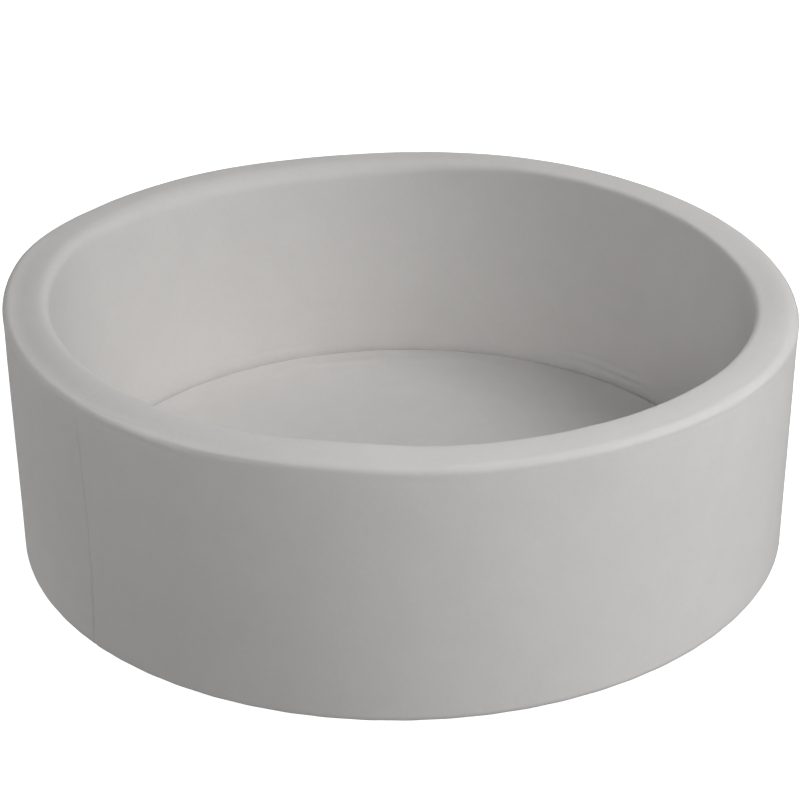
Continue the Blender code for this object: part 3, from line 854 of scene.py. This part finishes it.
def make_grip_dots():
    """Rubber dots under the base cloth, in even rows."""
    bpy.ops.mesh.primitive_cylinder_add(
        vertices=10, radius=DOT_RADIUS, depth=DOT_HEIGHT, location=(0, 0, DOT_HEIGHT / 2)
    )
    dot = just_made()
    set_mode("EDIT")
    bpy.ops.mesh.select_all(action="DESELECT")
    set_mode("OBJECT")
    for edge in dot.data.edges:
        edge.select = all(dot.data.vertices[i].co.z < DOT_HEIGHT / 5 for i in edge.vertices)
    set_mode("EDIT")
    bpy.ops.mesh.bevel(offset=DOT_HEIGHT / 2, segments=2)
    set_mode("OBJECT")
    places = []
    span = int(BASE_RADIUS / DOT_PITCH) + 2
    for row in range(-span, span + 1):
        for column in range(-span, span + 1):
            x = (column + 0.5 * (row % 2)) * DOT_PITCH
            y = row * DOT_PITCH * sqrt(3) / 2
            if hypot(x, y) < BASE_RADIUS - DOT_MARGIN:
                places.append(Matrix.Translation((x, y, 0)))
    return repeated("grip_dots", dot, places)


# The zip
TAPE_RADIUS = 0.44690
TAPE_MIDDLE = 0.447
TAPE_CLOTH = 0.0005
TAPE_WAVE = 0.04 * MM
TAPE_STEPS = 260
# Heights of the tape's rows from the zip's middle
TAPE_LEVELS = (0.0012, 0.0016, 0.0026, 0.0040, 0.0058, 0.0076, 0.0094, 0.0108, 0.0112)


def make_zip_tape(name, sign):
    """One tape of the zip, a woven ribbon laid in slight waves."""
    azimuths = evenly(*zip_span(HEM_WIDTH + SLOT_MARGIN), TAPE_STEPS)
    levels = TAPE_LEVELS[::sign]
    points = []
    for level in levels:
        for azimuth in azimuths:
            radius = TAPE_RADIUS + TAPE_WAVE * sin(azimuth * 9.0 + level * 900)
            points.append(on_circle(radius, radians(azimuth), ZIP_HEIGHT + sign * level))
    faces, cells = grid_faces(len(levels), len(azimuths), False)
    along = [radians(azimuth) * TAPE_MIDDLE for azimuth in azimuths]
    uv = grid_uv(cells, along, [sign * level for level in levels])
    return thicken(new_piece(name, points, faces, uv), TAPE_CLOTH)


TOOTH_PITCH = 0.0015
TOOTH_RADIUS = 0.44825
TOOTH_WIRE = 0.00030
TOOTH_LOOP = 0.00068
TOOTH_REACH = 0.00245
TOOTH_OVERLAP = 0.00030
TEETH_MARGIN = 0.42
TEETH_END = 164.9


def make_tooth():
    """One loop of the nylon coil, drawn at the origin: two legs along +Z, joined at the head."""
    bpy.ops.mesh.primitive_circle_add(
        vertices=6, radius=TOOTH_WIRE, fill_type="NGON", location=(TOOTH_LOOP, 0, TOOTH_REACH)
    )
    tooth = just_made()
    set_mode("EDIT")
    bpy.ops.mesh.select_all(action="SELECT")
    head = TOOTH_LOOP + TOOTH_WIRE - TOOTH_OVERLAP
    bpy.ops.mesh.extrude_region_move(TRANSFORM_OT_translate={"value": (0, 0, head - TOOTH_REACH)})
    bpy.ops.mesh.spin(steps=4, angle=pi, center=(0, 0, head), axis=(0, 1, 0), use_auto_merge=False)
    bpy.ops.mesh.extrude_region_move(TRANSFORM_OT_translate={"value": (0, 0, TOOTH_REACH - head)})
    bpy.ops.mesh.select_all(action="SELECT")
    bpy.ops.mesh.remove_doubles(threshold=0.00002)
    bpy.ops.mesh.normals_make_consistent(inside=False)
    set_mode("OBJECT")
    return tooth


def on_zip(azimuth, radius, sign):
    """Where a thing drawn along +Z at the origin goes on the zip, upright or the other way up."""
    turn = Matrix.Rotation(radians(azimuth), 4, "Z")
    over = Matrix.Rotation(pi, 4, "X") if sign < 0 else Matrix.Identity(4)
    return turn @ Matrix.Translation((radius, 0, ZIP_HEIGHT)) @ over


def make_teeth(name, sign):
    step = degrees(TOOTH_PITCH / TOOTH_RADIUS)
    first = ZIP_ENDS[0] + TEETH_MARGIN + (0.0 if sign > 0 else step / 2)
    count = int((TEETH_END - first) / step)
    places = [on_zip(first + step * k, TOOTH_RADIUS, sign) for k in range(count)]
    return repeated(name, make_tooth(), places)


# Half a stitch each way, and how it lies: pitch, distance from the slot and height on the cloth
STITCH_HALVES = (0.00024, 0.00135, 0.00024)
STITCH_PITCH = 0.0033
STITCH_AWAY = 0.0045
STITCH_PROUD = 0.00006


def make_slot_stitching():
    """Short stitches round the zip's slot, through the hem and the tape behind it."""
    bpy.ops.mesh.primitive_uv_sphere_add(segments=8, ring_count=6, radius=1.0)
    bpy.context.object.scale = STITCH_HALVES
    stitch = just_made()
    first, last = zip_span(SLOT_MARGIN + STITCH_AWAY)
    count = int((last - first) / wall_degrees(STITCH_PITCH))
    away = SLOT_HALF + STITCH_AWAY
    along = evenly(first, last, count)
    spots = [(azimuth, sign * away, 0.0) for sign in (1, -1) for azimuth in along]
    spots += [(end, away * (k / 3 - 1), pi / 2) for end in (first, last) for k in range(1, 6)]
    places = []
    for azimuth, level, tip in spots:
        spot = sleeve_point(azimuth, outer_wall(ZIP_HEIGHT + level), -STITCH_PROUD)
        turn = Matrix.Rotation(radians(azimuth), 4, "Z")
        places.append(Matrix.Translation(spot) @ turn @ Matrix.Rotation(tip, 4, "X"))
    return repeated("slot_stitching", stitch, places)


# Materials
class Finish:
    """A material being built node by node."""

    def __init__(self, name):
        self.material = bpy.data.materials.new(name)
        self.material.use_nodes = True
        self.nodes = self.material.node_tree.nodes
        self.links = self.material.node_tree.links
        self.shader = self.nodes["Principled BSDF"]

    def node(self, kind, inputs=(), **settings):
        made = self.nodes.new("ShaderNode" + kind)
        for name, value in settings.items():
            setattr(made, name, value)
        for key, value in dict(inputs).items():
            self.put(made.inputs[key], value)
        return made

    def place(self):
        return self.node("TexCoord").outputs["Object"]

    def on_cloth(self):
        """Both ways of the piece's own cloth map, in metres."""
        split = self.node("SeparateXYZ", {0: self.node("UVMap", uv_map="cloth").outputs["UV"]})
        return split.outputs["X"], split.outputs["Y"]

    def put(self, socket, value):
        if isinstance(value, bpy.types.NodeSocket):
            self.links.new(value, socket)
        else:
            socket.default_value = value

    def maths(self, operation, first, second=0.0):
        return self.node("Math", {0: first, 1: second}, operation=operation).outputs[0]

    def noise(self, vector, scale, detail=2.0, roughness=0.5):
        values = {"Vector": vector, "Scale": scale, "Detail": detail, "Roughness": roughness}
        return self.node("TexNoise", values).outputs["Fac"]

    def weighted(self, *shares):
        """Sum of values, each times its share."""
        total = None
        for value, share in shares:
            part = self.maths("MULTIPLY", value, share)
            total = part if total is None else self.maths("ADD", total, part)
        return total

    def between(self, value, low, high, to_low=0.0, to_high=1.0):
        values = {"Value": value, 1: low, 2: high, 3: to_low, 4: to_high}
        return self.node("MapRange", values).outputs[0]

    def mixed(self, factor, first, second):
        return self.node("Mix", {0: factor, 6: first, 7: second}, data_type="RGBA").outputs[2]

    def bumped(self, height, distance, strength, **below):
        values = {"Height": height, "Distance": distance, "Strength": strength, **below}
        return self.node("Bump", values).outputs["Normal"]

    def shade(self, **values):
        """Sets the shader's own sockets, named with lines for their spaces."""
        for name, value in values.items():
            self.put(self.shader.inputs[name.replace("_", " ")], value)


# Pitches of the knit, across its wales and along its courses
WALE = 0.00095
COURSE = 0.0008


def grey(level, warm=0.0):
    return (level * (1 + warm), level, level * (1 - warm), 1.0)


def toned(colour, share):
    """A colour that much darker or lighter."""
    return tuple(min(1.0, channel * share) for channel in colour[:3]) + (1.0,)


def knit_cloth(name, colour, sheen):
    """Brushed stretch jersey: fine wales and courses, a soft nap, and uneven dye."""
    cloth = Finish(name)
    place = cloth.place()
    across, along = cloth.on_cloth()
    wale = cloth.maths("DIVIDE", across, WALE)
    in_wale = cloth.maths("FRACT", wale)
    slant = cloth.maths("ABSOLUTE", cloth.maths("SUBTRACT", in_wale, 0.5))
    course = cloth.maths("ADD", cloth.maths("DIVIDE", along, COURSE), slant)
    loops = cloth.maths("SINE", cloth.maths("MULTIPLY", course, 2 * pi))
    ribs = cloth.maths("SINE", cloth.maths("MULTIPLY", in_wale, pi))
    knit = cloth.maths("MULTIPLY", ribs, cloth.maths("ADD", cloth.maths("MULTIPLY", loops, 0.2), 0.8))
    nap = cloth.noise(place, 1600.0, 3.0, 0.6)
    lay = cloth.noise(place, 210.0, 3.0, 0.55)
    dye = cloth.noise(place, 26.0, 4.0, 0.6)
    slow = cloth.noise(place, 5.0, 2.0, 0.5)
    shade = cloth.weighted((dye, 0.30), (slow, 0.30), (lay, 0.22), (knit, 0.18))
    base = cloth.mixed(cloth.between(shade, 0.25, 0.75), toned(colour, 0.93), toned(colour, 1.055))
    fine = cloth.bumped(cloth.weighted((knit, 0.7), (nap, 0.3)), 0.00012, 0.5)
    normal = cloth.bumped(lay, 0.00035, 0.35, Normal=fine)
    cloth.shade(Base_Color=base, Roughness=cloth.between(nap, 0.3, 0.7, 0.84, 0.96), Normal=normal)
    cloth.shade(Specular_IOR_Level=0.25, Sheen_Weight=sheen, Sheen_Roughness=0.5)
    return cloth.material


def woven_cloth(name, colour, pitch, contrast=0.12):
    """Plain weave on the piece's own cloth map, threads a pitch apart both ways."""
    cloth = Finish(name)
    place = cloth.place()
    across, along = (
        cloth.maths("SINE", cloth.maths("MULTIPLY", way, pi / pitch)) for way in cloth.on_cloth()
    )
    weave = cloth.maths("ABSOLUTE", cloth.maths("MULTIPLY", across, along))
    dye = cloth.noise(place, 60.0, 3.0, 0.6)
    shade = cloth.between(cloth.weighted((weave, 0.5), (dye, 0.5)), 0.15, 0.8)
    base = cloth.mixed(shade, toned(colour, 1 - contrast), toned(colour, 1 + contrast))
    normal = cloth.bumped(weave, pitch * 0.35, 0.6)
    rough = cloth.between(dye, 0.3, 0.7, 0.74, 0.86)
    cloth.shade(Base_Color=base, Roughness=rough, Normal=normal)
    cloth.shade(Specular_IOR_Level=0.3, Sheen_Weight=0.1)
    return cloth.material


def open_foam(name):
    """Cut polyurethane foam: pale cream, full of small open cells, with painted shade darkening their
    hollows.
    """
    foam = Finish(name)
    place = foam.place()
    cells, large = (
        foam.node("TexVoronoi", {"Vector": place, "Scale": scale}).outputs["Distance"]
        for scale in (900.0, 330.0)
    )
    tone = foam.noise(place, 9.0, 3.0, 0.55)
    pores_and_shade = foam.weighted((cells, 0.7), (large, 0.3))
    walls = foam.mixed(foam.between(tone, 0.3, 0.7), (0.80, 0.76, 0.64, 1), (0.86, 0.83, 0.73, 1))
    # The cells' hollows take a darker colour: painted shade, on the same pattern as their bump.
    base = foam.mixed(foam.between(pores_and_shade, 0.15, 0.55), (0.62, 0.57, 0.45, 1), walls)
    foam.shade(Base_Color=base, Roughness=0.95, Normal=foam.bumped(pores_and_shade, 0.0006, 0.7))
    foam.shade(Specular_IOR_Level=0.2)
    return foam.material


def plain_metal(name):
    """Cast zinc with a satin nickel finish, patchily duller and finely scratched all over."""
    metal = Finish(name)
    place = metal.place()
    cloud = metal.noise(place, 700.0, 3.0, 0.6)
    drawn = metal.node("Mapping", {"Vector": place, "Scale": (900.0, 900.0, 9000.0)}).outputs[0]
    scratch = metal.noise(drawn, 1.0, 2.0, 0.5)
    base = metal.mixed(metal.between(cloud, 0.3, 0.7), (0.52, 0.51, 0.49, 1), (0.64, 0.63, 0.61, 1))
    rough = metal.between(cloud, 0.3, 0.7, 0.20, 0.34)
    rough = metal.maths("ADD", rough, metal.maths("MULTIPLY", scratch, 0.12))
    metal.shade(Base_Color=base, Metallic=1.0, Roughness=rough, Normal=metal.bumped(scratch, 0.00003, 0.3))
    return metal.material


def plastic(name, colour, roughness):
    """Moulded or drawn plastic with a slight unevenness of tone and surface."""
    made = Finish(name)
    place = made.place()
    cloud = made.noise(place, 900.0, 3.0, 0.6)
    slow = made.noise(place, 30.0, 2.0, 0.5)
    base = made.mixed(made.between(slow, 0.3, 0.7), toned(colour, 0.86), colour)
    rough = made.between(cloud, 0.3, 0.7, roughness - 0.07, roughness + 0.07)
    made.shade(Base_Color=base, Roughness=rough, Normal=made.bumped(cloud, 0.00004, 0.3))
    return made.material


def twisted_thread(name, colour):
    """Polyester sewing thread with its twist."""
    made = Finish(name)
    twist = made.noise(made.place(), 2600.0, 2.0, 0.6)
    base = made.mixed(made.between(twist, 0.3, 0.7), toned(colour, 0.8), colour)
    made.shade(Base_Color=base, Roughness=0.6, Normal=made.bumped(twist, 0.0001, 0.5))
    made.shade(Sheen_Weight=0.2)
    return made.material


def dress(piece, material):
    piece.data.materials.clear()
    piece.data.materials.append(material)


# Camera, light and floor
LENS = 93.224
CAMERA_ELEVATION = 26.886
CAMERA_DISTANCE = 2.4654
CAMERA_ROLL = -0.349
LOOK_AT = (-0.00172, 0.0, 0.14814)

# Soft lights: azimuth, elevation and power. The low ones stand in for the white floor's bounce
LIGHTS = {
    "key_right": (330, 35, 20.0),
    "right": (0, 35, 17.1),
    "high_right": (0, 55, 22.2),
    "front": (270, 35, 31.6),
    "back": (120, 35, 4.5),
    "back_left": (150, 20, 13.0),
    "back_low": (90, 5, 22.0),
    "left_bounce": (180, -15, 24.4),
    "right_bounce": (315, -35, 28.0),
}
LIGHT_DISTANCE = 3.0
LIGHT_SIZE = 1.6
WORLD_STRENGTH = 0.01
FLOOR_GLOW = 0.95


def add_camera():
    data = bpy.data.cameras.new("photo_camera")
    data.sensor_width = 36
    data.lens = LENS
    camera = bpy.data.objects.new("photo_camera", data)
    bpy.context.scene.collection.objects.link(camera)
    rise = radians(CAMERA_ELEVATION)
    back = Vector((0, -cos(rise), sin(rise)))
    camera.location = Vector(LOOK_AT) + back * CAMERA_DISTANCE
    aim = (-back).to_track_quat("-Z", "Y")
    camera.rotation_euler = (aim @ Quaternion((0, 0, 1), radians(CAMERA_ROLL))).to_euler()
    bpy.context.scene.camera = camera


def add_lights():
    for name, (azimuth, elevation, power) in LIGHTS.items():
        data = bpy.data.lights.new(name, "AREA")
        data.shape = "DISK"
        data.size = LIGHT_SIZE
        data.energy = power
        light = bpy.data.objects.new(name, data)
        light.visible_camera = False
        bpy.context.scene.collection.objects.link(light)
        turn, rise = radians(azimuth), radians(elevation)
        way = Vector(on_circle(cos(rise), turn, sin(rise)))
        light.location = Vector((0, 0, RIM / 2)) + way * LIGHT_DISTANCE
        light.rotation_euler = way.to_track_quat("Z", "Y").to_euler()
    world = bpy.data.worlds.new("studio")
    world.use_nodes = True
    background = world.node_tree.nodes["Background"]
    background.inputs["Color"].default_value = (1, 1, 1, 1)
    background.inputs["Strength"].default_value = WORLD_STRENGTH
    bpy.context.scene.world = world
    bpy.context.scene.view_settings.view_transform = "Standard"


def add_sweep():
    """A white paper floor that runs up into a dome, which lights nothing itself."""
    bpy.ops.mesh.primitive_uv_sphere_add(segments=64, ring_count=32, radius=9.0)
    sweep = bpy.context.object
    sweep.name = "studio_sweep"
    for vertex in sweep.data.vertices:
        vertex.co.z = max(vertex.co.z, -0.0002)
    sweep.data.flip_normals()
    sweep.data.shade_smooth()
    paper = Finish("studio_paper")
    paper.shade(Base_Color=grey(0.8), Roughness=1.0)
    paper.shade(Emission_Color=grey(1.0), Emission_Strength=FLOOR_GLOW)
    dress(sweep, paper.material)
    sweep.visible_diffuse = sweep.visible_glossy = sweep.visible_shadow = False


# The whole
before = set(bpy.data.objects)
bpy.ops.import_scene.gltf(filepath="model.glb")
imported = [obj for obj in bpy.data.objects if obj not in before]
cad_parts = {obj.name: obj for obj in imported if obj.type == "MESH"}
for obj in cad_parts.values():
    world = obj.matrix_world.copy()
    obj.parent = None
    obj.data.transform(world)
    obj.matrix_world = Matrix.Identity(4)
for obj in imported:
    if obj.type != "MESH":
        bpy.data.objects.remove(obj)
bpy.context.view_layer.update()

add_camera()
add_lights()
add_sweep()

COVER = knit_cloth("cover_cloth_knit", grey(0.664, 0.020), 0.05)
BASE = woven_cloth("base_cloth_weave", grey(0.16, -0.01), 0.0009)
FOAM = open_foam("wall_foam_cells")
TAPE = woven_cloth("zip_tape_weave", grey(0.38, 0.01), 0.0005, 0.18)
NYLON = plastic("zip_nylon", grey(0.34, 0.0), 0.42)
METAL = plain_metal("zip_nickel")
RUBBER = plastic("grip_rubber", grey(0.05, 0.0), 0.6)
THREAD = twisted_thread("grey_thread", grey(0.42, 0.01))


def fitted(piece, material, body, slot, *nodes, rigid=False):
    """Gives a piece its finish and its body, and hides the solids it stands for; its slot is not used."""
    if not rigid:
        press_out_of_true(piece)
    dress(piece, material)
    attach(piece, body)
    if nodes:
        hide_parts(*nodes)
    return piece


for number, strip in enumerate(make_foam_strips(), 1):
    fitted(strip, FOAM, "ring", "foam", f"wall_foam_{number}")

sleeve = fitted(make_sleeve(), COVER, "ring", "cover_cloth", "wall_cover")
fold = fitted(make_seam_fold(), COVER, "ring", "cover_cloth", "seam_allowance")

base = fitted(make_base_cloth(), BASE, "ring", "base_cloth", "base_panel")
dots = fitted(make_grip_dots(), RUBBER, "ring", "base_cloth")

for side, sign in (("upper", 1), ("lower", -1)):
    tape = make_zip_tape(f"tape_{side}", sign)
    fitted(tape, TAPE, "ring", "zip_tape", f"zip_tape_{side}", rigid=True)
    teeth = make_teeth(f"coil_{side}", sign)
    fitted(teeth, NYLON, "ring", "zip_teeth", f"zip_teeth_{side}", rigid=True)
fitted(make_slot_stitching(), THREAD, "ring", "cover_cloth")
for node in ("zip_bottom_stop", "zip_top_stop_upper", "zip_top_stop_lower", "zip_slider", "zip_pull_tab"):
    dress(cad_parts[node], METAL)

filling = make_pad_filling()
pad_top = make_pad_top(filling)
fitted(filling, FOAM, "floor_pad", "foam", "pad_foam")
fitted(pad_top, COVER, "floor_pad", "cover_cloth", "pad_top_panel")
pad_band = fitted(make_pad_band(), COVER, "floor_pad", "cover_cloth", "pad_side_band")
pad_base = fitted(make_pad_base(), BASE, "floor_pad", "base_cloth", "pad_underside")
